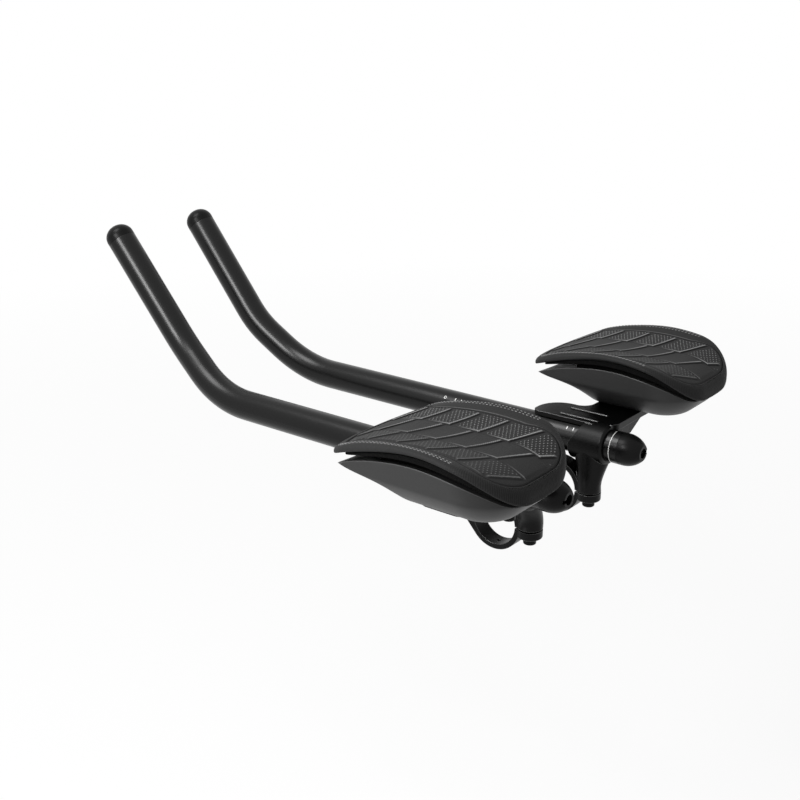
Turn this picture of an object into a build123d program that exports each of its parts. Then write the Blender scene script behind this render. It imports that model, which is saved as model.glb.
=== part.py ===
from build123d import *
import math
import os

# Clip-on aero bar pair for one road handlebar, in millimetres.
# X points forward, Y to the rider's left, Z up. The origin lies on the handlebar's axis, midway between
# the two arms. The left arm is modelled and the right one is its mirror image.

# Handlebar clamp
bar_diameter = 31.8
clamp_offset = 36.8
clamp_width = 12.0
clamp_wall = 3.5
clamp_parting = 1.2
lug_diameter = 16.5
lug_reach = 23.7
lug_thickness = 5.6
lug_round = 1.2
lug_straight_share = 0.33
lug_flare_share = 0.62
lug_top_share = 0.96
strap_hole = 3.0
hinge_reach = 22.6
hinge_rise = 3.0
hinge_radius = 4.6
hinge_pin_diameter = 4.0
hinge_pin_head = 1.0
eye_width = 5.6
eye_play = 0.2
swing_play = 0.5

# Extension tube: straight run, first bend up and inward, short run, second bend up, grip
tube_diameter = 22.2
tube_wall = 1.8
tube_offset = 47.1
tube_height = 32.4
tube_rear = -42.4
straight_length = 264.3
first_bend_radius = 88.0
first_climb_angle = 34.4
first_toe_angle = 8.6
middle_length = 15.7
second_bend_radius = 95.0
grip_climb_angle = 49.4
grip_toe_angle = -1.5
grip_length = 84.0

# End caps
cap_skirt = 3.5
cap_dome = 9.5
cap_flat = 0.6
plug_skirt = 2.5
plug_nose = 12.5
plug_nose_radius = 5.4
cable_hole = 7.0
cable_notch = 2.4
spigot_length = 14.0
spigot_wall = 1.8
spigot_play = 0.1

# Tube clamp on the bracket
boss_rear = -33.0
boss_length = 25.6
boss_round = 2.2
boss_front_angle = 29.0
bore_play = 0.05
boss_wall = 3.1
slit_width = 2.0
ear_reach = 27.5
ear_depth = 8.4
pinch_reach = 19.6
pinch_inset = 6.0
barrel_nut_diameter = 9.0
barrel_nut_drop = 8.4

# Armrest arm of the bracket
plate_thickness = 4.5
plate_rear = -35.0
plate_depth = 33.6
plate_outer = 125.0
plate_corner = 7.0
gusset_reach = 44.0
nose_front = 27.8
nose_inner = 42.6
nose_outer = 69.2
nose_depth = 3.2
nose_inner_corner = 5.0
nose_outer_corner = 18.0
nose_web = 9.0
channel_play = 0.6
bead_rear = -21.6
bead_length = 29.6
bead_width = 1.5
bead_height = 0.5
bead_inset = 1.4
bead_spacing = 13.6

# Armrest: plan outline, saddle surface, cup and pad
armrest_offset = 107.5
pad_rear = -77.0
pad_front = 36.5
pad_front_bulge = 16.8
pad_half_width = 47.6
pad_rear_flat = 12.6
pad_front_corner = 15.0
armrest_rise = 35.8
pad_thickness = 9.5
pad_edge_thinning = 6.0
pad_edge_round = 2.2
pad_edge_slope = 0.7
pad_nose_start = 12.0
pad_nose_radius = 122.5
under_nose_radius = 240.0
crown_middle = -16.0
crown_radius = 486.0
tail_start = -50.0
tail_radius = 41.0
wing_height = 7.7
wing_peak = -22.0
wing_rear_reach = 77.0
wing_front_reach = 76.0
saddle_stations = 16
lining_thickness = 1.8
lining_inset = 3.0
lining_edge_thinning = 4.0
tape_thickness = 1.0
tape_play = 0.05
tape_bedding = 0.05
tape_length = 62.0
tape_width = 16.0
tape_spacing = 27.0
base_rear = -54.0
base_front = 5.0
base_half_width = 18.0
base_corner = 10.0
base_front_bulge = 1.5
rim_inset = 1.5
rim_front = 38.0
rim_front_bulge = 13.5
rim_front_corner = 15.0
cup_edge_thinning = 1.8
hull_rises = (0.0, 8.0, 14.0, 18.0, 37.0)
hull_side_shares = (0.0, 0.62, 0.8, 0.87, 1.0)
hull_front_shares = (0.0, 0.12, 0.42, 0.93, 1.0)
hull_rear_shares = (0.0, 0.72, 0.92, 0.97, 1.0)
cup_wall = 2.0
cup_skin = 2.6
mouth_inset = 4.0
cup_floor = 3.4
well_wall = 3.0
well_floor = 4.0
rib_thickness = 2.4

# Fasteners
clamp_bolt_diameter = 5.0
clamp_bolt_engagement = 15.0
clamp_bolt_sink = 0.3
pinch_bolt_diameter = 5.0
pinch_bolt_tip = 1.5
socket_head_share = 1.7
hex_share = 0.8
socket_depth_share = 0.6
screw_round_share = 0.16
armrest_bolt_diameter = 6.0
armrest_bolt_spacing = 17.0
armrest_bolt_middle = -18.2
armrest_bolt_pitch = 10.0
button_head_diameter = 11.0
button_head_height = 3.3
button_rim = 0.6
button_flat = 2.4
button_hex = 4.0
washer_diameter = 12.5
washer_thickness = 1.2
hole_play = 0.25
thread_play = 0.05

# Worked-out sizes
bar_radius = bar_diameter / 2
ring_radius = bar_radius + clamp_wall
tube_radius = tube_diameter / 2
tube_inner = tube_radius - tube_wall
boss_radius = tube_radius + boss_wall
plate_top = tube_height + boss_radius
pad_top = plate_top + armrest_rise
boss_front = boss_rear + boss_length
boss_middle = (boss_rear + boss_front) / 2
half_parting = clamp_parting / 2
pinch_y = tube_offset + pinch_reach
pinch_stations = (boss_rear + pinch_inset, boss_front - pinch_inset)
slit_low = tube_height - slit_width / 2
slit_high = tube_height + slit_width / 2
ear_bottom = slit_low - ear_depth
barrel_nut_height = plate_top - barrel_nut_drop
plate_bottom = plate_top - plate_thickness
armrest_bolt_stations = (
    armrest_bolt_middle - armrest_bolt_spacing / 2,
    armrest_bolt_middle + armrest_bolt_spacing / 2,
)
pad_rear_corner = pad_half_width - pad_rear_flat
well_radius = washer_diameter / 2 + 2 * hole_play
cup_drop = pad_thickness + lining_thickness + tape_play + tape_thickness + tape_bedding
quarter_turn = 90.0
far = 400.0


def heading(rise, toe):
    # Unit direction that climbs by rise and turns inward by toe, both in degrees.
    climb = math.radians(rise)
    turn = math.radians(toe)
    return Vector(math.cos(climb) * math.cos(turn), -math.cos(climb) * math.sin(turn), math.sin(climb))


def bend(start, before, after, radius):
    # Arc that leaves start along before and ends along after.
    turn = math.radians(before.get_angle(after))
    side = (after - before * before.dot(after)).normalized()

    def at(angle):
        return start + before * (radius * math.sin(angle)) + side * (radius * (1 - math.cos(angle)))

    return ThreePointArc(start, at(turn / 2), at(turn)), at(turn)


def tube_path():
    # Centre line of the left extension, with its front end and direction.
    ahead = Vector(1, 0, 0)
    climb = heading(first_climb_angle, first_toe_angle)
    grip = heading(grip_climb_angle, grip_toe_angle)
    rear = Vector(tube_rear, tube_offset, tube_height)
    turn_start = rear + ahead * straight_length
    first, first_end = bend(turn_start, ahead, climb, first_bend_radius)
    middle_end = first_end + climb * middle_length
    second, second_end = bend(middle_end, climb, grip, second_bend_radius)
    front = second_end + grip * grip_length
    runs = [
        Line(rear, turn_start),
        first,
        Line(first_end, middle_end),
        second,
        Line(second_end, front),
    ]
    return Wire(runs), front, grip


def extension():
    path, _, _ = tube_path()
    start = Plane(origin=(tube_rear, tube_offset, tube_height), x_dir=(0, 1, 0), z_dir=(1, 0, 0))
    ring = start * (Circle(tube_radius) - Circle(tube_inner))
    return sweep(ring, path=path)


def spigot(bore):
    # Hollow stub that plugs the tube, below the seam at zero height.
    outer = tube_inner - spigot_play
    stub = upright(0, 0, -spigot_length, 0, outer)
    stub -= upright(0, 0, -spigot_length, -spigot_wall, outer - spigot_wall)
    if bore > 0:
        stub -= Cylinder(bore / 2, far)
    return stub


def turned(profile):
    # Solid of revolution about Z from a closed half profile in the X-Z plane.
    return revolve(Plane.XZ * make_face(profile), axis=Axis.Z)


def front_end_cap():
    _, front, grip = tube_path()
    top = cap_skirt + cap_dome
    dome = EllipticalCenterArc(
        (cap_flat, cap_skirt), tube_radius - cap_flat, cap_dome, start_angle=0, arc_size=quarter_turn
    )
    outline = Curve() + [
        Line((0, 0), (tube_radius, 0)),
        Line((tube_radius, 0), (tube_radius, cap_skirt)),
        dome,
        Line((cap_flat, top), (0, top)),
        Line((0, top), (0, 0)),
    ]
    cap = turned(outline) + spigot(0)
    return Plane(origin=front, x_dir=(0, 1, 0), z_dir=grip) * cap


def rear_end_plug():
    tip = plug_skirt + plug_nose
    flank = TangentArc((tube_radius, plug_skirt), (plug_nose_radius, tip), tangent=(0, 1))
    outline = Curve() + [
        Line((0, 0), (tube_radius, 0)),
        Line((tube_radius, 0), (tube_radius, plug_skirt)),
        flank,
        Line((plug_nose_radius, tip), (0, tip)),
        Line((0, tip), (0, 0)),
    ]
    plug = turned(outline) + spigot(cable_hole)
    plug -= Cylinder(cable_hole / 2, far)
    notch = Pos(cable_hole / 2, 0, tip) * Box(plug_nose_radius, cable_notch, 2 * cable_notch)
    plug -= notch
    return Plane(origin=(tube_rear, tube_offset, tube_height), x_dir=(0, 1, 0), z_dir=(-1, 0, 0)) * plug


def across(face, width, middle=clamp_offset):
    # Runs a face of the X-Z plane across the bar, centred on the given offset.
    return extrude(Plane.XZ.offset(-middle) * face, amount=width / 2, both=True)


def upright(x, y, low, high, radius):
    # Upright cylinder between two heights.
    return Pos(x, y, low) * Cylinder(radius, high - low, align=(Align.CENTER, Align.CENTER, Align.MIN))


def clamp_profile(upper):
    # Half of the bar ring with its share of the hinge, in the X-Z plane.
    side = 1 if upper else -1
    spread = math.hypot(hinge_reach, hinge_rise)
    tangent = math.atan2(hinge_rise, hinge_reach) + side * math.acos((ring_radius - hinge_radius) / spread)
    unit = (math.cos(tangent), math.sin(tangent))
    web = make_face(
        Polyline(
            (0, 0),
            (ring_radius * unit[0], ring_radius * unit[1]),
            (hinge_reach + hinge_radius * unit[0], hinge_rise + hinge_radius * unit[1]),
            (hinge_reach, hinge_rise),
            close=True,
        )
    )
    keep = Pos(0, side * (far / 2 + half_parting)) * Rectangle(far, far)
    half = ((Circle(ring_radius) + web) & keep) + Pos(hinge_reach, hinge_rise) * Circle(hinge_radius)
    return half - Circle(bar_radius)


def beyond_parting(upper):
    # Everything on the other side of the parting gap, with the hinge's swing room, in the X-Z plane.
    side = -1 if upper else 1
    other = Pos(0, side * (far / 2) + (half_parting if upper else -half_parting)) * Rectangle(far, far)
    return other + Pos(hinge_reach, hinge_rise) * Circle(hinge_radius + swing_play)


def clamp_half(upper):
    # The strap keeps the hinge's middle and the bracket keeps the two ears beside it.
    half = across(clamp_profile(upper), clamp_width)
    gap = beyond_parting(upper)
    if upper:
        return half - across(gap, eye_width + 2 * eye_play)
    ear = (clamp_width - eye_width) / 2
    for side in (-1, 1):
        middle = clamp_offset + side * (clamp_width - ear) / 2
        half -= across(gap, ear, middle)
    return half


def hinge_axis(radius, length):
    return across(Pos(hinge_reach, hinge_rise) * Circle(radius), length)


def pillar():
    # Round lug that flares into both sides of the tube clamp.
    top = tube_height - tube_radius
    lug = (-lug_reach, clamp_offset, lug_diameter / 2, lug_diameter / 2)
    boss = (boss_middle, tube_offset, boss_length / 2, boss_radius * lug_top_share)
    steps = (
        (half_parting, 0),
        (top * lug_straight_share, 0),
        (tube_height - boss_radius, lug_flare_share),
        (tube_height, 1),
    )
    sections = []
    for height, share in steps:
        x, y, long, wide = [low + (high - low) * share for low, high in zip(lug, boss)]
        sections.append(Pos(x, y, height) * Ellipse(long, wide))
    return loft(sections)


def tube_boss():
    # Clamp barrel with a round rear rim, its front end leaning back towards the top.
    boss = along_tube(boss_radius, boss_rear, boss_length)
    boss = fillet(boss.edges().sort_by(Axis.X)[0], boss_round)
    ahead = Box(far, far, far, align=(Align.MIN, Align.CENTER, Align.MIN))
    return boss - Pos(boss_front, tube_offset, tube_height) * Rot(0, -boss_front_angle, 0) * ahead


def arm_plate():
    # Flat arm that carries the armrest, with the round nose that runs forward over the tube.
    plate_front = plate_rear + plate_depth
    inner = tube_offset
    wide = Pos((plate_rear + plate_front) / 2, (inner + plate_outer) / 2) * RectangleRounded(
        plate_depth, plate_outer - inner, plate_corner
    )
    root = Pos(boss_middle, (inner + nose_outer) / 2) * Rectangle(boss_length, nose_outer - inner)
    plate = extrude(Pos(0, 0, plate_bottom) * (wide + root), plate_thickness)
    nose = Pos((boss_middle + nose_front) / 2, (nose_inner + nose_outer) / 2) * Rectangle(
        nose_front - boss_middle, nose_outer - nose_inner
    )
    nose = fillet(nose.vertices().group_by(Axis.X)[-1].sort_by(Axis.Y)[0], nose_inner_corner)
    nose = fillet(nose.vertices().group_by(Axis.X)[-1].sort_by(Axis.Y)[-1], nose_outer_corner)
    web = Pos(plate_front, nose_outer) * Rectangle(nose_web, nose_web, align=(Align.MIN, Align.MIN))
    web -= Pos(plate_front + nose_web, nose_outer + nose_web) * Circle(nose_web)
    return plate + extrude(Pos(0, 0, plate_top - nose_depth) * (nose + web), nose_depth)


def beads():
    # Two raised lines along the top of the arm.
    lines = Part()
    for y in (tube_offset + bead_inset, tube_offset + bead_inset + bead_spacing):
        line = Pos(bead_rear + bead_length / 2, y, plate_top) * SlotOverall(bead_length, bead_width)
        lines += extrude(line, bead_height)
    return lines


def clamp_ears():
    # Upper ear with the gusset under the arm, and lower ear, split by the slit.
    outer = tube_offset + ear_reach
    upper = Polyline(
        (tube_offset, plate_top - plate_thickness / 2),
        (tube_offset + gusset_reach, plate_top - plate_thickness / 2),
        (tube_offset + gusset_reach, plate_bottom),
        (outer, slit_high),
        (tube_offset, slit_high),
        close=True,
    )
    lower = Polyline(
        (tube_offset, slit_low),
        (outer, slit_low),
        (outer, ear_bottom),
        (tube_offset, ear_bottom),
        close=True,
    )
    ears = Part()
    for outline in (upper, lower):
        ears += Pos(boss_rear, 0, 0) * extrude(Plane.YZ * make_face(outline), boss_length)
    return ears


def along_tube(radius, rear, length):
    return Pos(rear, tube_offset, tube_height) * Cylinder(
        radius, length, rotation=(0, quarter_turn, 0), align=(Align.CENTER, Align.CENTER, Align.MIN)
    )


def bracket():
    body = tube_boss()
    body += clamp_ears()
    body += arm_plate()
    body += pillar()
    body += beads()
    body += clamp_half(True)
    body -= along_tube(tube_radius + bore_play, plate_rear, boss_front - plate_rear)
    body -= along_tube(tube_radius + channel_play, boss_front, far)
    slit_length = plate_outer - tube_offset
    body -= Pos(boss_middle, tube_offset + slit_length / 2, tube_height) * Box(far, slit_length, slit_width)
    body -= across(Circle(bar_radius), far)
    below = Pos(0, half_parting - far / 2) * Rectangle(2 * (lug_reach + lug_diameter), far)
    body -= across(below, lug_diameter + clamp_width) & (Pos(-far / 2, 0, 0) * Box(far, far, far))
    body -= hinge_axis(hinge_pin_diameter / 2 + thread_play, far)
    thread_end = half_parting + clamp_bolt_engagement
    body -= upright(-lug_reach, clamp_offset, 0, thread_end, clamp_bolt_diameter / 2 + thread_play)
    for x in pinch_stations:
        body -= upright(x, pinch_y, 0, slit_low, pinch_bolt_diameter / 2 + hole_play)
        body -= upright(x, pinch_y, slit_low, plate_bottom, pinch_bolt_diameter / 2 + thread_play)
    body -= along_arm(barrel_nut_diameter / 2 + thread_play)
    for x in armrest_bolt_stations:
        for step in (-1, 0, 1):
            y = armrest_offset + step * armrest_bolt_pitch
            body -= upright(x, y, 0, far, armrest_bolt_diameter / 2 + thread_play)
    return body


def along_arm(radius):
    # Cross bore of the barrel nut, which runs the length of the tube clamp.
    return Pos(boss_rear, pinch_y, barrel_nut_height) * Cylinder(
        radius, boss_length, rotation=(0, quarter_turn, 0), align=(Align.CENTER, Align.CENTER, Align.MIN)
    )


def pinch_barrel_nut():
    nut = along_arm(barrel_nut_diameter / 2)
    for x in pinch_stations:
        nut -= upright(x, pinch_y, 0, far, pinch_bolt_diameter / 2 + thread_play)
    return nut


def clamp_strap():
    strap = clamp_half(False)
    lug = upright(-lug_reach, clamp_offset, -half_parting - lug_thickness, -half_parting, lug_diameter / 2)
    strap += fillet(lug.edges().group_by(Axis.Z)[0], lug_round)
    strap -= across(Circle(bar_radius), far)
    strap -= upright(-lug_reach, clamp_offset, -far, 0, clamp_bolt_diameter / 2 + hole_play)
    seat = -half_parting - lug_thickness + clamp_bolt_sink
    head = clamp_bolt_diameter * socket_head_share / 2
    strap -= upright(-lug_reach, clamp_offset, -far, seat, head + hole_play)
    strap -= hinge_axis(hinge_pin_diameter / 2 + thread_play, far)
    strap -= upright(0, clamp_offset, -far, 0, strap_hole / 2)
    return strap


def hinge_pin():
    pin = hinge_axis(hinge_pin_diameter / 2, clamp_width)
    for side in (-1, 1):
        middle = clamp_offset + side * (clamp_width + hinge_pin_head) / 2
        head = Pos(hinge_reach, hinge_rise) * Circle(hinge_pin_diameter / 2 + hinge_pin_head / 2)
        pin += across(head, hinge_pin_head, middle)
    return pin


def socket_screw(diameter, length):
    # Cap screw along Z, its head's seat at zero height and its shank above.
    head_height = diameter
    head = upright(0, 0, -head_height, 0, diameter * socket_head_share / 2)
    head = fillet(head.edges().group_by(Axis.Z)[0], diameter * screw_round_share)
    across_flats = diameter * hex_share
    socket = extrude(
        Pos(0, 0, -head_height) * RegularPolygon(across_flats / 2, 6, major_radius=False),
        head_height * socket_depth_share,
    )
    shank = upright(0, 0, 0, length, diameter / 2)
    shank = chamfer(shank.edges().group_by(Axis.Z)[-1], diameter * screw_round_share)
    return head - socket + shank


def button_screw(diameter, length):
    # Low round-head screw along Z, its head's seat at zero height and its shank below.
    outline = Curve() + [
        Line((0, 0), (button_head_diameter / 2, 0)),
        Line((button_head_diameter / 2, 0), (button_head_diameter / 2, button_rim)),
        EllipticalCenterArc(
            (button_flat, button_rim),
            button_head_diameter / 2 - button_flat,
            button_head_height - button_rim,
            start_angle=0,
            arc_size=quarter_turn,
        ),
        Line((button_flat, button_head_height), (0, button_head_height)),
        Line((0, button_head_height), (0, 0)),
    ]
    head = turned(outline)
    socket = extrude(
        Pos(0, 0, button_head_height) * RegularPolygon(button_hex / 2, 6, major_radius=False),
        -button_head_height * socket_depth_share,
    )
    return head - socket + upright(0, 0, -length, 0, diameter / 2)


def clamp_bolt():
    seat = -half_parting - lug_thickness + clamp_bolt_sink
    length = half_parting + clamp_bolt_engagement - seat - thread_play
    return Pos(-lug_reach, clamp_offset, seat) * socket_screw(clamp_bolt_diameter, length)


def pinch_bolts():
    length = barrel_nut_height + barrel_nut_diameter / 2 - pinch_bolt_tip - ear_bottom
    screw = socket_screw(pinch_bolt_diameter, length)
    return Compound(children=[Pos(x, pinch_y, ear_bottom) * screw for x in pinch_stations])


def armrest_bolts():
    seat = plate_top + well_floor + washer_thickness
    length = well_floor + washer_thickness + plate_thickness
    screw = button_screw(armrest_bolt_diameter, length)
    return Compound(children=[Pos(x, armrest_offset, seat) * screw for x in armrest_bolt_stations])


def armrest_washers():
    seat = plate_top + well_floor
    rings = []
    for x in armrest_bolt_stations:
        ring = upright(x, armrest_offset, seat, seat + washer_thickness, washer_diameter / 2)
        rings.append(ring - upright(x, armrest_offset, 0, far, armrest_bolt_diameter / 2 + hole_play))
    return Compound(children=rings)


def plan(rear, front, half_width, rear_corner, front_corner, bulge):
    # Armrest outline seen from above: round at the rear, nearly straight and slightly bowed in front.
    y = armrest_offset
    left, right = y + half_width, y - half_width
    sides = Polyline((front, left), (rear, left), (rear, right), (front, right))
    bow = ThreePointArc((front, right), (front + bulge, y), (front, left))
    face = make_face(Curve() + [sides, bow])
    corners = face.vertices().sort_by(Axis.X)
    face = fillet(corners[:2], rear_corner)
    return fillet(face.vertices().sort_by(Axis.X)[-2:], front_corner)


def crown(x):
    # Middle line of the saddle, which bends down behind the tail's start.
    tail = max(tail_start - x, 0) ** 2 / (2 * tail_radius)
    return pad_top - (x - crown_middle) ** 2 / (2 * crown_radius) - tail


def wing(x):
    # Rise of the two side wings, which swells in the middle and dies out fore and aft.
    reach = wing_rear_reach if x < wing_peak else wing_front_reach
    share = min(abs(x - wing_peak) / reach, 1)
    return wing_height * (1 + math.cos(math.pi * share)) / 2


def nose(x, radius):
    # Fall of a surface towards its front edge.
    return max(x - pad_nose_start, 0) ** 2 / (2 * radius)


def above_saddle(drop, thinning, nose_radius):
    # Room above the forearm saddle, lowered by drop in the middle and by less towards the wings.
    reach = pad_half_width + pad_edge_thinning
    share = (reach / pad_half_width) ** 2
    rear = pad_rear - pad_front_corner
    front = pad_front + pad_front_bulge + pad_front_corner
    sections = []
    for index in range(saddle_stations):
        x = rear + (front - rear) * index / (saddle_stations - 1)
        low = crown(x) - drop - nose(x, nose_radius)
        rise = (wing(x) + thinning) * share
        high = low + rise
        edge = Bezier((-reach, high), (0, low - rise), (reach, high))
        lid = Polyline((reach, high), (reach, 2 * pad_top), (-reach, 2 * pad_top), (-reach, high))
        place = Plane(origin=(x, armrest_offset, 0), x_dir=(0, 1, 0), z_dir=(1, 0, 0))
        sections.append(place * make_face(Curve() + [edge, lid]))
    return loft(sections)


def outline_solid(inset):
    face = plan(
        pad_rear + inset,
        pad_front - inset,
        pad_half_width - inset,
        pad_rear_corner - inset,
        pad_front_corner,
        pad_front_bulge,
    )
    return extrude(face, 2 * pad_top)


def above_pad_base():
    return above_saddle(pad_thickness, pad_edge_thinning, under_nose_radius)


def above_lining_base(play):
    return above_saddle(pad_thickness + lining_thickness + play, lining_edge_thinning, under_nose_radius)


def above_cup(lift):
    return above_saddle(cup_drop - lift, cup_edge_thinning, pad_nose_radius)


def armrest_pad():
    pad = (outline_solid(0) & above_pad_base()) - above_saddle(0, 0, pad_nose_radius)
    upper_face = pad.faces().filter_by(lambda face: face.normal_at().Z > pad_edge_slope).sort_by(Axis.Z)[-1]
    return fillet(upper_face.edges(), pad_edge_round)


def loop_lining():
    return (outline_solid(lining_inset) & above_lining_base(0)) - above_pad_base()


def hook_tape():
    lower = above_cup(tape_bedding)
    upper = above_lining_base(tape_play)
    middle = (pad_rear + pad_front) / 2
    strips = []
    for side in (-1, 1):
        y = armrest_offset + side * tape_spacing
        block = Pos(middle, y, pad_top) * Box(tape_length, tape_width, pad_top)
        strips.append((block & lower) - upper)
    return Compound(children=strips)


def hull(inset):
    # Boat-shaped outside of the cup, from its flat base out to the rim.
    rim = (
        pad_rear + rim_inset + inset,
        rim_front - inset,
        pad_half_width - rim_inset - inset,
        pad_rear_corner - rim_inset - inset,
        rim_front_corner,
        rim_front_bulge,
    )
    base = (
        base_rear + inset,
        base_front - inset,
        base_half_width - inset,
        base_corner,
        base_corner,
        base_front_bulge,
    )
    sections = []
    for rise, aft, fore, side in zip(hull_rises, hull_rear_shares, hull_front_shares, hull_side_shares):
        shares = (aft, fore, side, side, side, fore)
        sizes = [low + (high - low) * share for low, high, share in zip(base, rim, shares)]
        sections.append(Pos(0, 0, plate_top + rise) * plan(*sizes))
    return loft(sections)


def cup_mouth():
    # Opening through the flat base, below the hollow.
    face = plan(
        base_rear + mouth_inset,
        base_front - mouth_inset,
        base_half_width - mouth_inset,
        base_corner - mouth_inset,
        base_corner - mouth_inset,
        base_front_bulge,
    )
    return extrude(Pos(0, 0, plate_top - cup_skin) * face, 3 * cup_skin)


def armrest_cup():
    cup = hull(0) - above_cup(0)
    floor = above_cup(-cup_floor)
    cup &= Pos(0, 0, plate_top + far / 2) * Box(far, far, far)
    hollow = Pos(0, 0, cup_skin) * hull(cup_wall) + cup_mouth() - floor
    middle = (base_rear + base_front) / 2
    hollow -= Pos(middle, armrest_offset, pad_top) * Box(far, rib_thickness, far)
    for x in armrest_bolt_stations:
        hollow -= upright(x, armrest_offset, 0, far, well_radius + well_wall)
        hollow -= Pos(x, armrest_offset, pad_top) * Box(rib_thickness, far, far)
    cup -= hollow
    for x in armrest_bolt_stations:
        cup -= upright(x, armrest_offset, plate_top + well_floor, far, well_radius)
        cup -= upright(x, armrest_offset, 0, far, armrest_bolt_diameter / 2 + hole_play)
    return cup


left_pieces = {
    "extension": extension,
    "front_end_cap": front_end_cap,
    "rear_end_plug": rear_end_plug,
    "bracket": bracket,
    "clamp_strap": clamp_strap,
    "hinge_pin": hinge_pin,
    "clamp_bolt": clamp_bolt,
    "pinch_bolts": pinch_bolts,
    "pinch_barrel_nut": pinch_barrel_nut,
    "armrest_cup": armrest_cup,
    "armrest_bolts": armrest_bolts,
    "armrest_washers": armrest_washers,
    "hook_tape": hook_tape,
    "loop_lining": loop_lining,
    "armrest_pad": armrest_pad,
}

os.makedirs("parts", exist_ok=True)
for name, make in left_pieces.items():
    piece = make()
    export_step(piece, f"parts/left_{name}.step")
    export_step(mirror(piece, about=Plane.XZ), f"parts/right_{name}.step")
    print(name, round(piece.volume, 1))
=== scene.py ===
import math

import bmesh
import bpy
import numpy as np
from mathutils import Matrix, Vector


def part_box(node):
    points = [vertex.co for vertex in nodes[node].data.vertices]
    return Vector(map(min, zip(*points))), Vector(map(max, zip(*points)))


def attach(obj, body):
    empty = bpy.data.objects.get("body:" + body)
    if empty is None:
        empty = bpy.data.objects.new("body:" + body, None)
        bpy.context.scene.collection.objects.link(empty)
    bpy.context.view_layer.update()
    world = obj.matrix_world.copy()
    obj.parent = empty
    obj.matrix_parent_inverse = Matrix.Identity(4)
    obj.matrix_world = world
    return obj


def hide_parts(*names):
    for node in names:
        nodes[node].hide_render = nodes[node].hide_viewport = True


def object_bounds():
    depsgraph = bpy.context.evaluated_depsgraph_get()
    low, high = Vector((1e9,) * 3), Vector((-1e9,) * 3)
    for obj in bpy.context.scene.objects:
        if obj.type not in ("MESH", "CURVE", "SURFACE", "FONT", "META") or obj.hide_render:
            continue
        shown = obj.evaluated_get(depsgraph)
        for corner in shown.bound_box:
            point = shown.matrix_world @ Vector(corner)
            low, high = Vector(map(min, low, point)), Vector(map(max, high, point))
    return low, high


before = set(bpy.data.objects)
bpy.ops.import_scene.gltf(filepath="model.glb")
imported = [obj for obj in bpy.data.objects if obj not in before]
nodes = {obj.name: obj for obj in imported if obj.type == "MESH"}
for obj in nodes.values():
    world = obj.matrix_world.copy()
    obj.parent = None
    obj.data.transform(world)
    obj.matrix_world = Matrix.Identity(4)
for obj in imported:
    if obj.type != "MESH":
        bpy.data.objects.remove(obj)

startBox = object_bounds()
mm = 0.001
edgeWearAndHighlightTurn = (0.98, 0.8)  # cosine of rounded to flat normal where the edge colour starts, and where it is full: a dark seam on tube and caps, a painted highlight on forging and cup
plainPaintedLight = 0.5  # painted-light value of plain foam skin: painted highlights lie above it, painted shade below
weldGap = 0.001 * mm
print("frame loaded:", len(nodes), "nodes")


# Materials. Each is procedural and in object coordinates, so its grain keeps its size in millimetres.

def linear(hexCode):
    # sRGB hex to the linear colour that the shader takes.
    parts = [int(hexCode[i:i + 2], 16) / 255 for i in (0, 2, 4)]
    return [c / 12.92 if c <= 0.04045 else ((c + 0.055) / 1.055) ** 2.4 for c in parts] + [1.0]


def addNode(tree, kind, inputs=None, **settings):
    # Adds a node, sets its options and fills its inputs with constants or links.
    node = tree.nodes.new("ShaderNode" + kind)
    for name, value in settings.items():
        setattr(node, name, value)
    for name, value in (inputs or {}).items():
        if isinstance(value, bpy.types.NodeSocket):
            tree.links.new(value, node.inputs[name])
        else:
            node.inputs[name].default_value = value
    return node


def grainedFinish(name, s):
    # A surface whose grain drives its colour, gloss and bump, with soft edges mixed to another colour: dark
    # seams on tube and caps, paler edges on steel, painted highlights on forging and cup.
    material = bpy.data.materials.new(name)
    material.use_nodes = True
    tree = material.node_tree
    surface = tree.nodes["Principled BSDF"]
    for socket, value in s["surface"].items():
        surface.inputs[socket].default_value = value
    place = addNode(tree, "TexCoord").outputs["Object"]
    speckle = {"Vector": place, "Scale": 1 / (s["grain"] * mm), "Detail": 3.0}
    grain = addNode(tree, "TexNoise", speckle).outputs[0]
    plain = addNode(tree, "Mix", {0: grain, 6: linear(s["dark"]), 7: linear(s["light"])}, data_type="RGBA")
    soft = addNode(tree, "Bevel", {"Radius": s["edge"] * mm}, samples=8).outputs[0]
    flat = addNode(tree, "NewGeometry").outputs["Normal"]
    turn = addNode(tree, "VectorMath", {0: soft, 1: flat}, operation="DOT_PRODUCT").outputs["Value"]
    # Share of the edge colour: a dark seam at joints, a painted highlight on the pale edges of forging and
    # cup.
    edgeWearAndHighlight = addNode(tree, "MapRange", {
        "Value": turn, "From Min": edgeWearAndHighlightTurn[0], "From Max": edgeWearAndHighlightTurn[1], "To Max": s["wearAndPaintedLight"],
    })
    layers = {0: edgeWearAndHighlight.outputs[0], 6: plain.outputs[2], 7: linear(s["edgeWearAndHighlight"])}
    colour = addNode(tree, "Mix", layers, data_type="RGBA").outputs[2]
    smooth, rough = s["roughness"]
    gloss = addNode(tree, "MapRange", {"Value": grain, "To Min": smooth, "To Max": rough})
    relief = addNode(tree, "Bump", {"Height": grain, "Distance": s["depth"] * mm, "Normal": soft})
    tree.links.new(colour, surface.inputs["Base Color"])
    tree.links.new(gloss.outputs[0], surface.inputs["Roughness"])
    tree.links.new(relief.outputs[0], surface.inputs["Normal"])
    return {"material": material, "tree": tree, "surface": surface, "place": place, "colour": colour}


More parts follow.
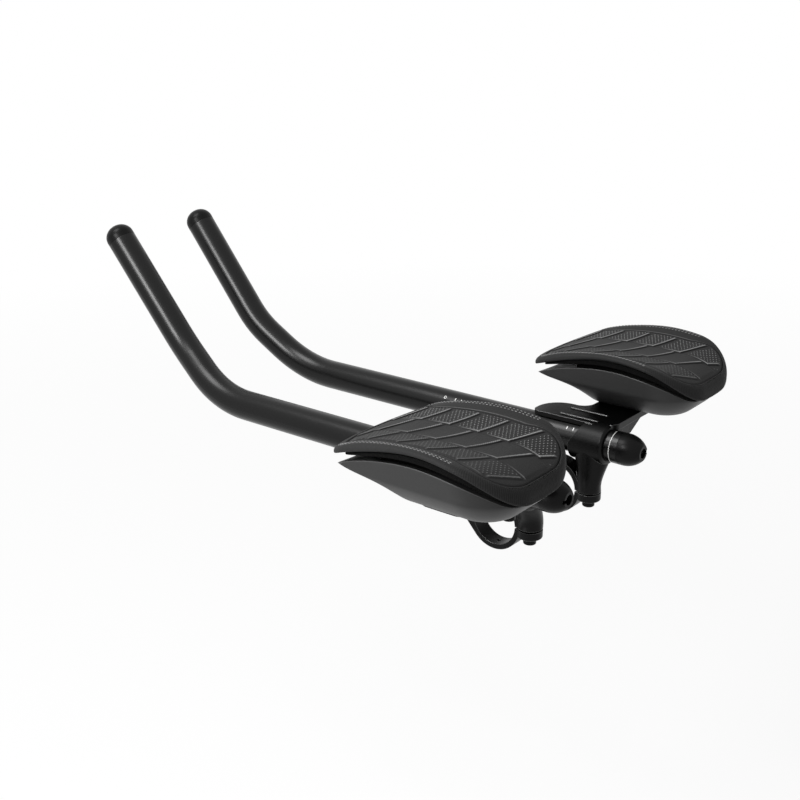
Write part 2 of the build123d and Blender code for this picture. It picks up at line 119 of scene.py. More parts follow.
tubeSettings = {  # millimetres, with the ticks' low and high as shares of the tube's radius
    "surface": {"Metallic": 1.0}, "dark": "272727", "light": "2e2e2e", "edgeWearAndHighlight": "050505", "wearAndPaintedLight": 0.9,
    "grain": 0.9, "depth": 0.01, "edge": 0.45, "roughness": (0.26, 0.34),
    "ink": "cfcfcd", "tickPitch": 5.0, "tickPhase": 2.8, "tickWidth": 0.7, "tickLow": 0.66, "tickHigh": 0.8,
    "scales": ((-9.0, -1.0), (82.0, 96.0)), "ring": 101.5, "ringRadius": 0.9,
    "limitLine": -37.2, "line": 0.5,
}


def anodisedTube(node):
    # Aluminium tube, blasted and black anodised: a soft bright streak, dark end seams, a pale printed scale.
    s = tubeSettings
    finish = grainedFinish("aluminium_tube_anodised_blasted", s)
    tree, surface = finish["tree"], finish["surface"]
    plugLow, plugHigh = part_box(node.replace("extension", "rear_end_plug"))
    axis, radius = (plugLow + plugHigh) / 2, (plugHigh.z - plugLow.z) / 2
    inward = -1 if axis.y > 0 else 1
    x, y, z = addNode(tree, "SeparateXYZ", {"Vector": finish["place"]}).outputs
    span = {"Value": z, "From Min": axis.z, "From Max": axis.z + radius}
    rise = addNode(tree, "MapRange", span, clamp=False)
    facing = addNode(tree, "Math", {0: y, 1: inward}, operation="MULTIPLY").outputs[0]
    shifted = addNode(tree, "Math", {0: x, 1: s["tickPhase"] * mm}, operation="ADD").outputs[0]
    wave = addNode(tree, "Math", {0: shifted, 1: s["tickPitch"] / 2 * mm}, operation="PINGPONG").outputs[0]
    middle, halfTick = (s["tickLow"] + s["tickHigh"]) / 2, (s["tickHigh"] - s["tickLow"]) / 2
    tick = addNode(tree, "Math", {0: wave, 1: s["tickWidth"] / 2 * mm}, operation="LESS_THAN").outputs[0]
    level = {0: rise.outputs[0], 1: middle, 2: halfTick}
    band = addNode(tree, "Math", level, operation="COMPARE").outputs[0]
    tick = addNode(tree, "Math", {0: tick, 1: band}, operation="MULTIPLY").outputs[0]
    ahead = addNode(tree, "Math", {0: x, 1: s["ring"] * mm}, operation="SUBTRACT").outputs[0]
    above = addNode(tree, "Math", {0: rise.outputs[0], 1: middle}, operation="SUBTRACT").outputs[0]
    slope = radius / math.sqrt(1 - middle ** 2)  # way along the curved wall for each unit of rise
    above = addNode(tree, "Math", {0: above, 1: slope}, operation="MULTIPLY").outputs[0]
    spread = addNode(tree, "CombineXYZ", {"X": ahead, "Y": above}).outputs[0]
    away = addNode(tree, "VectorMath", {0: spread}, operation="LENGTH").outputs["Value"]
    halfLine = s["line"] / 2 * mm
    ring = {0: away, 1: s["ringRadius"] * mm, 2: halfLine}
    ink = addNode(tree, "Math", ring, operation="COMPARE").outputs[0]
    for rear, front in s["scales"]:
        reach = {0: x, 1: (rear + front) / 2 * mm, 2: (front - rear) / 2 * mm}
        scale = addNode(tree, "Math", reach, operation="COMPARE").outputs[0]
        ink = addNode(tree, "Math", {0: scale, 1: tick, 2: ink}, operation="MULTIPLY_ADD").outputs[0]
    limit = {0: x, 1: s["limitLine"] * mm, 2: halfLine}
    limit = addNode(tree, "Math", limit, operation="COMPARE").outputs[0]
    ink = addNode(tree, "Math", {0: ink, 1: limit}, operation="MAXIMUM").outputs[0]
    inner = addNode(tree, "Math", {0: facing, 1: axis.y * inward}, operation="GREATER_THAN").outputs[0]
    ink = addNode(tree, "Math", {0: ink, 1: inner}, operation="MULTIPLY").outputs[0]
    colour = addNode(tree, "Mix", {0: ink, 6: finish["colour"], 7: linear(s["ink"])}, data_type="RGBA")
    metal = addNode(tree, "MapRange", {"Value": ink, "To Min": 1.0, "To Max": 0.0})
    tree.links.new(colour.outputs[2], surface.inputs["Base Color"])
    tree.links.new(metal.outputs[0], surface.inputs["Metallic"])
    return finish["material"]


# Forged aluminium, blasted and black anodised: fine orange peel, with a painted highlight that makes its
# edges a little paler.
forging = grainedFinish("aluminium_forged_anodised", {
    "surface": {"Metallic": 1.0}, "dark": "191919", "light": "222222", "edgeWearAndHighlight": "848484", "wearAndPaintedLight": 0.6,
    "grain": 0.8, "depth": 0.03, "edge": 0.5, "roughness": (0.34, 0.44),
})["material"]

# Steel with a black oxide skin, oiled: darker than the forging, with a tighter gleam.
steel = grainedFinish("steel_black_oxide", {
    "surface": {"Metallic": 1.0}, "dark": "141414", "light": "1d1d1d", "edgeWearAndHighlight": "4c4c4c", "wearAndPaintedLight": 0.4,
    "grain": 0.5, "depth": 0.01, "edge": 0.2, "roughness": (0.26, 0.38),
})["material"]

# Nylon caps, injection moulded and polished: nearly black, with a soft gloss and a dark seam at the tube.
cap = grainedFinish("nylon_moulded_polished", {
    "surface": {"IOR": 1.53, "Specular IOR Level": 0.1},
    "dark": "080808", "light": "0d0d0d", "edgeWearAndHighlight": "020202", "wearAndPaintedLight": 0.9,
    "grain": 0.7, "depth": 0.01, "edge": 0.5, "roughness": (0.3, 0.4),
})["material"]

# Glass-filled nylon cup, moulded with a satin face: dark grey, paler than the rest, with a painted highlight
# along its round lip.
cup = grainedFinish("nylon_glass_filled_satin", {
    "surface": {"IOR": 1.53, "Specular IOR Level": 0.22},
    "dark": "262626", "light": "2d2d2d", "edgeWearAndHighlight": "5a5a5a", "wearAndPaintedLight": 0.8,
    "grain": 0.7, "depth": 0.02, "edge": 1.2, "roughness": (0.38, 0.46),
})["material"]

# Nylon hook tape, moulded in close rows: dark, with a dotted sparkle.
hook = grainedFinish("nylon_hook_tape_moulded", {
    "surface": {"IOR": 1.53, "Specular IOR Level": 0.06},
    "dark": "030303", "light": "121212", "edgeWearAndHighlight": "121212", "wearAndPaintedLight": 0.3,
    "grain": 1.2, "depth": 0.4, "edge": 0.2, "roughness": (0.5, 0.7),
})["material"]

# Polyester loop knit: matt black with pale flecks where loops catch the light, drawn coarser to show.
loop = grainedFinish("polyester_loop_knit", {
    "surface": {"IOR": 1.5, "Specular IOR Level": 0.06},
    "dark": "020202", "light": "161616", "edgeWearAndHighlight": "161616", "wearAndPaintedLight": 0.2,
    "grain": 0.9, "depth": 0.5, "edge": 0.2, "roughness": (0.8, 0.95),
})["material"]

# Bonded polyester thread, twisted: paler than the skin that it holds.
thread = grainedFinish("polyester_thread_twisted", {
    "surface": {"IOR": 1.5, "Specular IOR Level": 0.4},
    "dark": "5c5c5c", "light": "858585", "edgeWearAndHighlight": "858585", "wearAndPaintedLight": 0.2,
    "grain": 0.5, "depth": 0.08, "edge": 0.1, "roughness": (0.45, 0.6),
})["material"]

foamSettings = {
    "surface": {"IOR": 1.5, "Specular IOR Level": 0.1},
    "dark": "232323", "light": "2f2f2f", "edgeWearAndHighlight": "2f2f2f", "wearAndPaintedLight": 0.1,
    "grain": 0.8, "depth": 0.02, "edge": 0.3, "roughness": (0.55, 0.7),
    "paintedCrestHighlight": "a8a8a8", "paintedGrooveShade": "060606", "pebble": 1.1, "pebbleDepth": 0.12,
    "dotPitch": 2.5, "dotEdge": (0.45, 0.85), "paintedDotHighlight": "7c7c7c", "dotDepth": 0.25,
    "hatchPitch": 1.3, "hatchEdge": (-0.2, 0.8),
}


def foamSkin():
    # EVA foam, moulded with a pebbled skin: dull black, with painted highlights on crests and dots, and
    # painted shade in its steps.
    s = foamSettings
    finish = grainedFinish("eva_foam_moulded_skin", s)
    tree, surface = finish["tree"], finish["surface"]
    wearAndPaintedLight = addNode(tree, "Attribute", attribute_name="wearAndPaintedLight").outputs["Fac"]
    dotted = addNode(tree, "Attribute", attribute_name="dotted").outputs["Fac"]
    hatched = addNode(tree, "Attribute", attribute_name="hatched").outputs["Fac"]
    around = addNode(tree, "Attribute", attribute_name="around").outputs["Fac"]
    x, y, _ = addNode(tree, "SeparateXYZ", {"Vector": finish["place"]}).outputs
    turn = 2 * math.pi / (s["dotPitch"] * mm)
    across = addNode(tree, "Math", {0: x, 1: turn}, operation="MULTIPLY")
    along = addNode(tree, "Math", {0: y, 1: turn / math.sqrt(3)}, operation="MULTIPLY")
    across = addNode(tree, "Math", {0: across.outputs[0]}, operation="COSINE")
    along = addNode(tree, "Math", {0: along.outputs[0]}, operation="COSINE")
    peaks = addNode(tree, "Math", {0: across.outputs[0], 1: along.outputs[0]}, operation="MULTIPLY")
    spots = {"Value": peaks.outputs[0], "From Min": s["dotEdge"][0], "From Max": s["dotEdge"][1]}
    spots = addNode(tree, "MapRange", spots).outputs[0]
    dots = addNode(tree, "Math", {0: spots, 1: dotted}, operation="MULTIPLY").outputs[0]
    # Hatch lines, coloured with the painted groove shade below.
    wave = addNode(tree, "Math", {0: around, 1: 2 * math.pi / s["hatchPitch"]}, operation="MULTIPLY")
    wave = addNode(tree, "Math", {0: wave.outputs[0]}, operation="COSINE")
    grooves = {"Value": wave.outputs[0], "From Min": s["hatchEdge"][0], "From Max": s["hatchEdge"][1]}
    grooves = addNode(tree, "MapRange", grooves).outputs[0]
    lines = addNode(tree, "Math", {0: grooves, 1: hatched}, operation="MULTIPLY").outputs[0]
    # high paints a highlight on crests and low paints shade in steps and valleys; the dots get a painted
    # highlight.
    high = addNode(tree, "MapRange", {"Value": wearAndPaintedLight, "From Min": plainPaintedLight, "From Max": 1.0}).outputs[0]
    low = addNode(tree, "MapRange", {"Value": wearAndPaintedLight, "From Min": plainPaintedLight, "From Max": 0.0}).outputs[0]
    colour = finish["colour"]
    marks = ((dots, "paintedDotHighlight"), (high, "paintedCrestHighlight"), (low, "paintedGrooveShade"), (lines, "paintedGrooveShade"))
    for mask, name in marks:
        colour = addNode(tree, "Mix", {0: mask, 6: colour, 7: linear(s[name])}, data_type="RGBA").outputs[2]
    cells = addNode(tree, "TexVoronoi", {"Vector": finish["place"], "Scale": 1 / (s["pebble"] * mm)})
    bump = {"Height": cells.outputs["Distance"], "Distance": s["pebbleDepth"] * mm}
    pebbles = addNode(tree, "Bump", bump).outputs[0]
    bump = {"Height": dots, "Distance": s["dotDepth"] * mm, "Normal": pebbles}
    relief = addNode(tree, "Bump", bump)
    tree.links.new(colour, surface.inputs["Base Color"])
    tree.links.new(relief.outputs[0], surface.inputs["Normal"])
    return finish["material"]


foam = foamSkin()
finishes = {
    "front_end_cap": cap, "rear_end_plug": cap, "bracket": forging, "clamp_strap": forging,
    "hinge_pin": steel, "clamp_bolt": steel, "pinch_bolts": steel, "pinch_barrel_nut": steel,
    "armrest_cup": cup, "armrest_bolts": steel, "armrest_washers": steel, "hook_tape": hook,
    "loop_lining": loop, "armrest_pad": foam,
}
for name, node in nodes.items():
    kind = name.split("_", 1)[1]
    node.data.materials.clear()
    node.data.materials.append(anodisedTube(name) if kind == "extension" else finishes[kind])
print("materials set")


# Armrest pads: a saddle with a puffed band round it, a crease, stepped tiles with dots, and a hatched back.

padSettings = {  # millimetres, with x forward from the handlebar's axis
    "rearFlat": 12.6, "frontCorner": 15.0, "frontBulge": 16.8,
    "top": 82.4, "thickness": 9.5, "thinning": 6.0, "crownMiddle": -16.0, "crownRadius": 486.0,
    "tailStart": -50.0, "tailRadius": 41.0, "wingHeight": 7.7, "wingPeak": -22.0, "rearReach": 77.0,
    "frontReach": 76.0, "noseStart": 12.0, "noseRadius": 122.5, "underNoseRadius": 240.0,
    "noseThinning": 4.4, "thinningTurn": (-30.0, 25.0),
    "sideCrease": 13.0, "rearCrease": 3.5, "noseCrease": 8.0, "rearCreaseTurn": (-38.0, -72.0),
    "noseCreaseTurn": (18.0, 42.0), "creaseDepth": 0.8, "creaseWidth": 0.6, "creaseReach": 1.2,
    "creasePaintedShade": 0.45, "ridgeReach": 1.1, "ridgeWidth": 0.4, "ridgePaintedHighlight": 0.12,
    "rollShare": 0.62, "puff": 1.2, "lowerRound": 1.0,
    "hatchRear": (-34.0, -58.0), "hatchNose": (36.0, 47.0), "hatchRearShare": 0.55, "hatchNoseShare": 0.4,
    "hatchFade": (0.95, 0.6),
    "spacing": 0.52, "spineRear": -40.0, "spineFront": 26.0, "rows": 78, "underLoops": 7, "lowerLoops": 5,
    "wallShares": (0.33, 0.66), "rollLoops": 17, "creaseLoops": 11,
    "tilePitch": 21.0, "tileWidth": 24.0, "tileSlant": 0.42, "tileShift": 0.4, "tileHeight": 1.0,
    "tileStep": 0.9, "tileFade": 2.0, "crestWidth": 0.38, "footWidth": 0.55, "gapWidth": 0.5, "sideFade": 0.8,
    "faintShare": 0.45, "faintTurn": (22.0, -14.0),
    "dotHeight": 0.3, "dotStart": 2.0, "dotEnd": 0.85, "dotRim": (1.5, 2.5),
}


def smoothStep(low, high, value):
    t = np.clip((value - low) / (high - low), 0, 1)
    return t * t * (3 - 2 * t)


class Pad:
    # Plan, saddle and relief of one pad, in millimetres, with v measured outward from its middle line.
    def __init__(self, node):
        self.low, self.high = (np.array(corner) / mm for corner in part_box(node))
        self.side = 1 if self.low[1] > 0 else -1
        self.middle = (self.low[1] + self.high[1]) / 2
        self.halfWidth = (self.high[1] - self.low[1]) / 2
        self.trace()

    def trace(self):
        # Even steps round the plan, with the outward normal of each.
        p = padSettings
        rear, tip, half = self.low[0], self.high[0], self.halfWidth
        corner, flat = p["frontCorner"], p["rearFlat"]
        rearRadius = half - flat
        bowRadius = (half ** 2 + p["frontBulge"] ** 2) / (2 * p["frontBulge"])
        bowMiddle = tip - bowRadius
        reach = math.sqrt((bowRadius - corner) ** 2 - (half - corner) ** 2)
        bowTurn = math.atan2(half - corner, reach)
        cornerMiddle = bowMiddle + reach
        straight = cornerMiddle - rear - rearRadius
        quarter = math.pi / 2
        arcs = [  # length, first angle, last angle, radius, first middle, last middle
            (flat, 2 * quarter, 2 * quarter, rearRadius, (rear + rearRadius, 0), (rear + rearRadius, flat)),
            (rearRadius * quarter, 2 * quarter, quarter, rearRadius, (rear + rearRadius, flat), None),
            (straight, quarter, quarter, rearRadius, (rear + rearRadius, flat), (cornerMiddle, flat)),
            (corner * (quarter - bowTurn), quarter, bowTurn, corner, (cornerMiddle, half - corner), None),
            (bowRadius * bowTurn, bowTurn, 0, bowRadius, (bowMiddle, 0), None),
        ]
        total = sum(arc[0] for arc in arcs)
        halfCount = int(total / p["spacing"])
        self.count, self.step = 2 * halfCount, total / halfCount
        s = (np.arange(halfCount) + 0.5) * self.step
        edge, normal = np.zeros((halfCount, 2)), np.zeros((halfCount, 2))
        start = 0
        for length, first, last, radius, here, there in arcs:
            share = (s - start) / length
            inside = (share >= 0) & (share < 1)
            t = share[inside, None]
            angle = first + (last - first) * t[:, 0]
            normal[inside] = np.column_stack([np.cos(angle), np.sin(angle)])
            middle = np.array(here) + (np.array(there or here) - np.array(here)) * t
            edge[inside] = middle + radius * normal[inside]
            start += length
        flip = np.array([1, -1])
        self.around = np.concatenate([s, s[::-1]])
        self.edge = np.concatenate([edge, edge[::-1] * flip])
        self.normal = np.concatenate([normal, normal[::-1] * flip])
        along = np.clip(self.edge[:, 0], p["spineRear"], p["spineFront"])
        self.spine = np.column_stack([along, np.zeros(self.count)])

    def inset(self, distance):
        return self.edge - self.normal * np.reshape(distance, (-1, 1))

    def saddle(self, plan):
        p = padSettings
        x, v = plan[..., 0], plan[..., 1]
        reach = np.where(x < p["wingPeak"], p["rearReach"], p["frontReach"])
        share = np.minimum(np.abs(x - p["wingPeak"]) / reach, 1)
        wing = p["wingHeight"] * (1 + np.cos(math.pi * share)) / 2
        tail = np.maximum(p["tailStart"] - x, 0) ** 2 / (2 * p["tailRadius"])
        crown = p["top"] - (x - p["crownMiddle"]) ** 2 / (2 * p["crownRadius"]) - tail
        return crown + wing * (v / self.halfWidth) ** 2

    def surface(self, plan, drop, thinning, noseRadius):
        # Height of a layer that lies under the saddle by drop in the middle and by less at the sides.
        fall = np.maximum(plan[..., 0] - padSettings["noseStart"], 0) ** 2 / (2 * noseRadius)
        return self.saddle(plan) - drop + thinning * (plan[..., 1] / self.halfWidth) ** 2 - fall

    def top(self, plan):
        return self.surface(plan, 0, 0, padSettings["noseRadius"])

    def bottom(self, plan):
        p = padSettings
        turn = smoothStep(*p["thinningTurn"], plan[..., 0])
        lift = p["thinning"] + (p["noseThinning"] - p["thinning"]) * turn
        return self.surface(plan, p["thickness"], lift, p["underNoseRadius"])

    def crease(self):
        # Width of the rolled band, which narrows towards the rear and the nose.
        p = padSettings
        x = self.edge[:, 0]
        width = p["sideCrease"] + (p["rearCrease"] - p["sideCrease"]) * smoothStep(*p["rearCreaseTurn"], x)
        return width + (p["noseCrease"] - p["sideCrease"]) * smoothStep(*p["noseCreaseTurn"], x)

    def roll(self, share):
        # Points of the rolled edge, from its widest line at 0 to the crease at 1.
        p = padSettings
        crease = self.crease()
        plan = self.inset(crease * (1 - math.cos(share * math.pi / 2)))
        deep = p["rollShare"] * (self.top(self.edge) - self.bottom(self.edge))
        puff = p["puff"] * crease / p["sideCrease"] * math.sin(math.pi * share)
        return np.column_stack([plan, self.top(plan) - deep * (1 - math.sin(share * math.pi / 2)) + puff])

    def tiles(self, plan):
        # Overlapping slanted tiles in columns, alike on both pads: height, painted light (highlight on
        # crests, shade at feet and gaps) and where the dots go.
        p, f = padSettings, foamSettings
        x, v = plan[..., 0], self.side * plan[..., 1]
        place = v / p["tileWidth"] + 0.5
        column = np.floor(place)
        across = place - column
        phase = (x - across * p["tileWidth"] * p["tileSlant"]) / p["tilePitch"] + p["tileShift"] * column
        along = (phase - np.floor(phase)) * p["tilePitch"]
        rim = (1 - across) * p["tileWidth"]
        beside = smoothStep(0, p["tileStep"], rim) * smoothStep(0, p["tileFade"], across * p["tileWidth"])
        height = smoothStep(0, p["tileStep"], along) * (1 - along / p["tilePitch"]) * beside
        # Painted highlight on each step's crest and side, painted shade at its foot and in the gap beside it.
        paintedCrestHighlight = np.exp(-((along - p["tileStep"]) / p["crestWidth"]) ** 2) * beside
        fading = np.clip(p["sideFade"] - along / p["tilePitch"], 0, 1)
        side = np.exp(-((rim - p["tileStep"]) / p["crestWidth"]) ** 2) * fading
        foot = np.exp(-((along - p["tilePitch"] * (along > p["tilePitch"] / 2)) / p["footWidth"]) ** 2)
        gap = np.exp(-(rim / p["gapWidth"]) ** 2) * fading
        strength = p["faintShare"] + (1 - p["faintShare"]) * smoothStep(*p["faintTurn"], v)
        wearAndPaintedLight = plainPaintedLight + strength * plainPaintedLight * (np.maximum(paintedCrestHighlight, side) - np.maximum(foot, gap))
        dotted = (column % 2 == 1) * (along > p["dotStart"]) * (along < p["dotEnd"] * p["tilePitch"])
        dotted = dotted * smoothStep(*p["dotRim"], rim) * strength
        turn = 2 * math.pi / f["dotPitch"]  # the same grid as in the skin's material
        y = self.middle + v
        dots = smoothStep(*f["dotEdge"], np.cos(turn * x) * np.cos(turn / math.sqrt(3) * y)) * dotted
        return p["tileHeight"] * height + p["dotHeight"] * dots, wearAndPaintedLight, dotted

    def hatch(self):
        # Where the band is hatched: the back, and less strongly the nose.
        p = padSettings
        x = self.edge[:, 0]
        rear = p["hatchRearShare"] * smoothStep(*p["hatchRear"], x)
        return rear + p["hatchNoseShare"] * smoothStep(*p["hatchNose"], x)

    def rings(self):
        # Loops from the middle of the underside, round the edge, to the middle of the top: place, then looks.
        p = padSettings
        loops = []
        calm, bare = np.full(self.count, plainPaintedLight), np.zeros(self.count)

        def addLoop(plan, z, wearAndPaintedLight=calm, dotted=bare, hatched=bare):
            loops.append(np.column_stack([plan, z, wearAndPaintedLight, dotted, hatched, self.around]))

        inner = self.inset(p["noseCrease"])
        for share in np.linspace(0, 1, p["underLoops"]):
            plan = self.spine + (inner - self.spine) * share
            addLoop(plan, self.bottom(plan))
        lower = self.bottom(self.edge)
        for turn in np.linspace(0, math.pi / 2, p["lowerLoops"]):
            plan = self.inset(p["lowerRound"] * (1 - math.sin(turn)))
            addLoop(plan, lower + p["lowerRound"] * (1 - math.cos(turn)))
        hatch = self.hatch()
        lip, start = loops[-1][:, 2], self.roll(0)[:, 2]
        for share in p["wallShares"]:
            addLoop(self.edge, lip * (1 - share) + start * share, hatched=hatch)
        for share in np.linspace(0, 1, p["rollLoops"] + 1)[:-1]:
            ring = self.roll(share)
            addLoop(ring[:, :2], ring[:, 2], hatched=hatch * smoothStep(*p["hatchFade"], share))
        crease, reach = self.crease(), p["creaseReach"]
        for offset in np.linspace(-reach, reach, p["creaseLoops"]):
            plan = self.inset(crease + offset)
            groove = math.exp(-(offset / p["creaseWidth"]) ** 2)
            ridge = math.exp(-((offset + p["ridgeReach"]) / p["ridgeWidth"]) ** 2)
            # Painted shade in the crease's groove, painted highlight on the ridge just outside it.
            wearAndPaintedLight = calm - p["creasePaintedShade"] * groove + p["ridgePaintedHighlight"] * ridge
            addLoop(plan, self.top(plan) - p["creaseDepth"] * groove, wearAndPaintedLight)
        inner = self.inset(crease + reach)
        for share in np.linspace(0, 1, p["rows"])[1:]:
            plan = inner + (self.spine - inner) * share
            fade = smoothStep(0, p["tileFade"], np.linalg.norm(plan - inner, axis=1))
            height, wearAndPaintedLight, dotted = self.tiles(plan)
            addLoop(plan, self.top(plan) + height * fade, calm + (wearAndPaintedLight - calm) * fade, dotted * fade)
        return loops

    def place(self, points):
        # Millimetres about the pad's middle line to metres in the frame.
        points = np.array(points)
        return np.column_stack([points[:, 0], self.middle + self.side * points[:, 1], points[:, 2]]) * mm


def meshPiece(name, points, faces, material, **attributes):
    # Smooth mesh with point attributes, welded where loops close along a line, its faces turned outward.
    mesh = bpy.data.meshes.new(name)
    mesh.from_pydata(points.tolist(), [], faces)
    mesh.materials.append(material)
    mesh.polygons.foreach_set("use_smooth", [True] * len(mesh.polygons))
    for label, values in attributes.items():
        mesh.attributes.new(label, "FLOAT", "POINT").data.foreach_set("value", values)
    shape = bmesh.new()
    shape.from_mesh(mesh)
    bmesh.ops.remove_doubles(shape, verts=shape.verts, dist=weldGap)
    bmesh.ops.recalc_face_normals(shape, faces=shape.faces)
    shape.to_mesh(mesh)
    shape.free()
    piece = bpy.data.objects.new(name, mesh)
    bpy.context.scene.collection.objects.link(piece)
    return piece


def loopFaces(loops, around):
    # Quads between closed loops of as many points.
    ring = np.arange(around)
    after = (ring + 1) % around
    faces = []
    for k in range(loops - 1):
        near, far = k * around, (k + 1) * around
        faces.append(np.column_stack([near + ring, near + after, far + after, far + ring]))
    return np.concatenate(faces).tolist()


def makePad(side):
    pad = Pad(f"{side}_armrest_pad")
    loops = pad.rings()
    rows = np.concatenate(loops)
    faces = loopFaces(len(loops), pad.count)
    looks = dict(zip(("wearAndPaintedLight", "dotted", "hatched", "around"), rows[:, 3:].T.copy()))
    piece = meshPiece(f"{side}_pad", pad.place(rows), faces, foam, **looks)
    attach(piece, "brackets")
    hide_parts(f"{side}_armrest_pad")
    return pad


stitchSettings = {  # millimetres, with blunt and least for the round of a stitch's ends
    "length": 1.7, "gap": 1.1, "thickness": 0.6, "shares": (0.5, 0.62), "probe": 0.05,
    "sides": 8, "sections": 6, "blunt": 4, "least": 0.02, "rear": -46.0, "front": 36.0,
}


def makeStitches(side, pad):
    # Two rows of short stitches that lie along the rolled band at the sides.
    s = stitchSettings
    every = max(int(round((s["length"] + s["gap"]) / pad.step)), 1)
    turns = 2 * math.pi * np.arange(s["sides"]) / s["sides"]
    points, faces = [], []
    for share in s["shares"]:
        line = pad.roll(share)
        above = pad.roll(share + s["probe"]) - pad.roll(share - s["probe"])
        for start in range(0, len(line), every):
            if not s["rear"] < line[start, 0] < s["front"]:
                continue
            along = line[(start + 1) % len(line)] - line[start - 1]
            along /= np.linalg.norm(along)
            up = np.cross(along, above[start])
            up *= np.sign(up[2]) / np.linalg.norm(up)
            across = np.cross(up, along)
            base = len(points)
            for t in np.linspace(0, 1, s["sections"] + 1):
                swell = s["thickness"] / 2 * math.sqrt(max(1 - (2 * t - 1) ** s["blunt"], s["least"]))
                middle = line[start] + along * (t - 0.5) * s["length"]
                for turn in turns:
                    points.append(middle + swell * (math.cos(turn) * across + math.sin(turn) * up))
            for k in range(s["sections"]):
                for j in range(s["sides"]):
                    nextJ = (j + 1) % s["sides"]
                    a, b = base + k * s["sides"], base + (k + 1) * s["sides"]
                    faces.append([a + j, a + nextJ, b + nextJ, b + j])
            last = base + s["sections"] * s["sides"]
            faces.append([base + j for j in reversed(range(s["sides"]))])
            faces.append([last + j for j in range(s["sides"])])
    piece = meshPiece(f"{side}_pad_stitches", pad.place(points), faces, thread)
    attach(piece, "brackets")


liningSettings = {  # millimetres
    "inset": 3.0, "noseInset": 7.0, "noseTurn": (15.0, 45.0), "thickness": 1.8, "noseThickness": 0.7,
    "thinning": 4.0,
    "pile": 0.5, "shortPile": 0.4, "border": 1.0, "clearance": 0.02,
    "topLoops": 4, "edgeLoops": 8, "underLoops": 24, "seed": 11,
}


def makeLining(side, pad):
    # Loop layer under the pad, with an uneven pile at its edge and underside.
    s, p = liningSettings, padSettings
    rough = np.random.RandomState(s["seed"])
    around = pad.count
    loops = []

    def addLoop(plan, share, tuft=0.0):
        high = pad.bottom(plan) - s["clearance"]
        turn = smoothStep(*s["noseTurn"], plan[:, 0])
        thick = s["thickness"] + (s["noseThickness"] - s["thickness"]) * turn
        low = pad.surface(plan, p["thickness"] + thick, s["thinning"], p["underNoseRadius"])
        loops.append(np.column_stack([plan, high + (low - high) * share + tuft]))

    inset = s["inset"] + (s["noseInset"] - s["inset"]) * smoothStep(*s["noseTurn"], pad.edge[:, 0])
    inner = pad.inset(inset + s["border"])
    for share in np.linspace(0, 1, s["topLoops"]):
        addLoop(pad.spine + (inner - pad.spine) * share, 0)
    for share in np.linspace(0, 1, s["edgeLoops"]):
        length = s["shortPile"] + (1 - s["shortPile"]) * math.sin(math.pi * share)
        out = s["pile"] * rough.rand(around) * length
        addLoop(pad.inset(inset + s["pile"] - out), share)
    for share in np.linspace(0, 1, s["underLoops"]):
        tuft = 0 if share == 1 else s["pile"] * rough.rand(around)
        addLoop(inner + (pad.spine - inner) * share, 1, tuft)
    points = pad.place(np.concatenate(loops))
    piece = meshPiece(f"{side}_lining", points, loopFaces(len(loops), around), loop)
    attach(piece, "brackets")
    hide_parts(f"{side}_loop_lining")


for side in ("left", "right"):
    pad = makePad(side)
    makeStitches(side, pad)
    makeLining(side, pad)
print("pads made")


# Stage: pale floor well below the object, white surroundings and soft lamps.

stageSettings = {  # metres, but the speckle in millimetres
    "floorDrop": 0.26, "floorReach": 40.0, "floorDark": "efefef", "floorLight": "f6f6f6",
    "floorSpeckle": 3.0, "nearGlow": 0.9, "farGlow": 1.0, "glowStart": 0.5, "glowEnd": 2.0, "ambient": 0.25,
}


def seenRays(tree):
    # One for rays that see the white: straight from the camera, off a gloss or through a clear piece.
    path = addNode(tree, "LightPath").outputs
    seen = path["Is Camera Ray"]
    for ray in ("Is Glossy Ray", "Is Transmission Ray"):
        seen = addNode(tree, "Math", {0: seen, 1: path[ray]}, operation="MAXIMUM").outputs[0]
    return seen


def makeFloor():
    # Painted board: matt and nearly white, fading into the white round it far from the object.
    s = stageSettings
    z, reach = startBox[0].z - s["floorDrop"], s["floorReach"]
    corners = np.array([[-reach, -reach, z], [reach, -reach, z], [reach, reach, z], [-reach, reach, z]])
    finish = grainedFinish("board_painted_matt", {
        "surface": {"Specular IOR Level": 0.1}, "dark": s["floorDark"], "light": s["floorLight"],
        "edgeWearAndHighlight": s["floorLight"], "wearAndPaintedLight": 0.0, "grain": s["floorSpeckle"], "depth": 0.0, "edge": 0.1,
        "roughness": (0.85, 0.95),
    })
    tree = finish["tree"]
    away = addNode(tree, "VectorMath", {0: finish["place"]}, operation="LENGTH").outputs["Value"]
    share = addNode(tree, "MapRange", {
        "Value": away, "From Min": s["glowStart"], "From Max": s["glowEnd"], "To Min": s["nearGlow"],
        "To Max": s["farGlow"],
    }).outputs[0]
    glow = addNode(tree, "Emission", {"Strength": 1.0}).outputs[0]
    seen = addNode(tree, "Math", {0: seenRays(tree), 1: share}, operation="MULTIPLY").outputs[0]
    mix = addNode(tree, "MixShader", {0: seen, 1: finish["surface"].outputs[0], 2: glow})
    tree.links.new(mix.outputs[0], tree.nodes["Material Output"].inputs["Surface"])
    meshPiece("floor", corners, [[0, 1, 2, 3]], finish["material"])


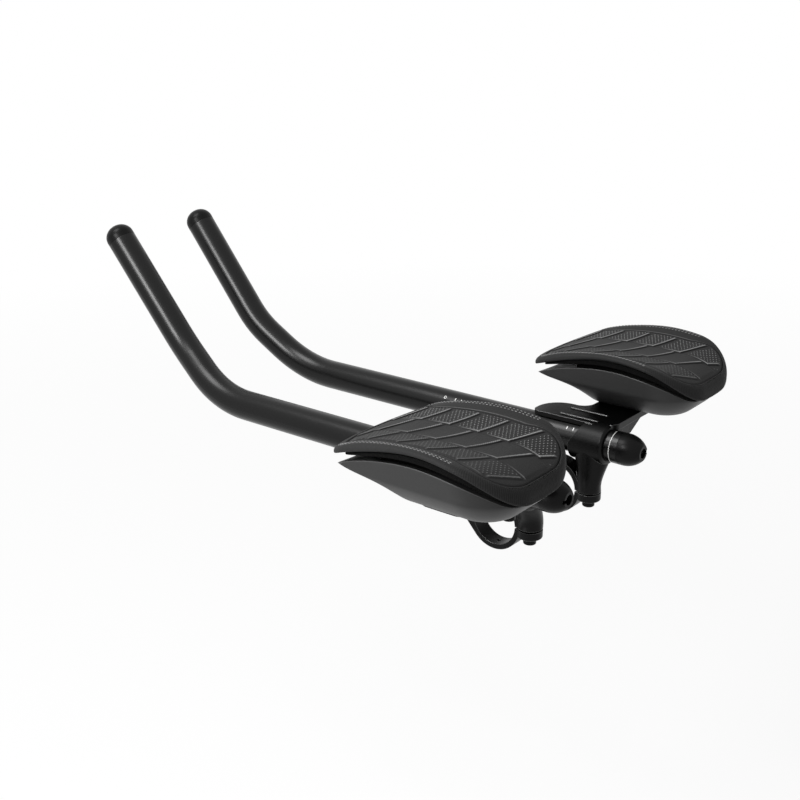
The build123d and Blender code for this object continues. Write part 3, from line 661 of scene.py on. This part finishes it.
def makeWorld():
    world = bpy.data.worlds.new("white_studio")
    bpy.context.scene.world = world
    world.use_nodes = True
    tree = world.node_tree
    soft = tree.nodes["Background"]
    soft.inputs["Color"].default_value = (1, 1, 1, 1)
    soft.inputs["Strength"].default_value = stageSettings["ambient"]
    white = addNode(tree, "Background", {"Color": (1, 1, 1, 1), "Strength": 1.0}).outputs[0]
    mix = addNode(tree, "MixShader", {0: seenRays(tree), 1: soft.outputs[0], 2: white})
    tree.links.new(mix.outputs[0], tree.nodes["World Output"].inputs["Surface"])


lamps = {  # metres and watts
    "overhead_softbox": {"place": (0.6, 0.55, 1.3), "size": 0.7, "power": 13},
    "side_softbox": {"place": (0.185, 0.975, 0.66), "size": 0.35, "power": 9},
    "low_softbox": {"place": (0.1, 0.4, 0.02), "size": 0.22, "power": 0.3},
}


def addLamp(name, s, target):
    lamp = bpy.data.lights.new(name, "AREA")
    lamp.shape = "DISK"
    lamp.size, lamp.energy = s["size"], s["power"]
    holder = bpy.data.objects.new(name, lamp)
    holder.location = s["place"]
    holder.rotation_euler = (target - Vector(s["place"])).to_track_quat("-Z", "Y").to_euler()
    bpy.context.scene.collection.objects.link(holder)


makeFloor()
makeWorld()
for name, lampSettings in lamps.items():
    addLamp(name, lampSettings, (startBox[0] + startBox[1]) / 2)


# Camera at the photograph's viewpoint.

cameraSettings = {
    "place": (-0.3859, 0.6108, 0.3251), "yaw": -50.786, "pitch": 19.429, "roll": -0.595, "lens": 52.36,
}


def makeCamera():
    s = cameraSettings
    yaw, pitch, roll = (math.radians(s[key]) for key in ("yaw", "pitch", "roll"))
    ahead = Vector((math.cos(yaw) * math.cos(pitch), math.sin(yaw) * math.cos(pitch), -math.sin(pitch)))
    right = ahead.cross(Vector((0, 0, 1))).normalized()
    up = right.cross(ahead)
    turned = math.cos(roll) * right + math.sin(roll) * up
    tilted = math.cos(roll) * up - math.sin(roll) * right
    data = bpy.data.cameras.new("camera")
    data.lens = s["lens"]
    camera = bpy.data.objects.new("camera", data)
    turn = Matrix((turned, tilted, -ahead)).transposed()
    camera.matrix_world = Matrix.Translation(s["place"]) @ turn.to_4x4()
    bpy.context.scene.collection.objects.link(camera)
    bpy.context.scene.camera = camera


makeCamera()
bpy.context.scene.view_settings.view_transform = "Standard"
print("stage, lamps and camera set")
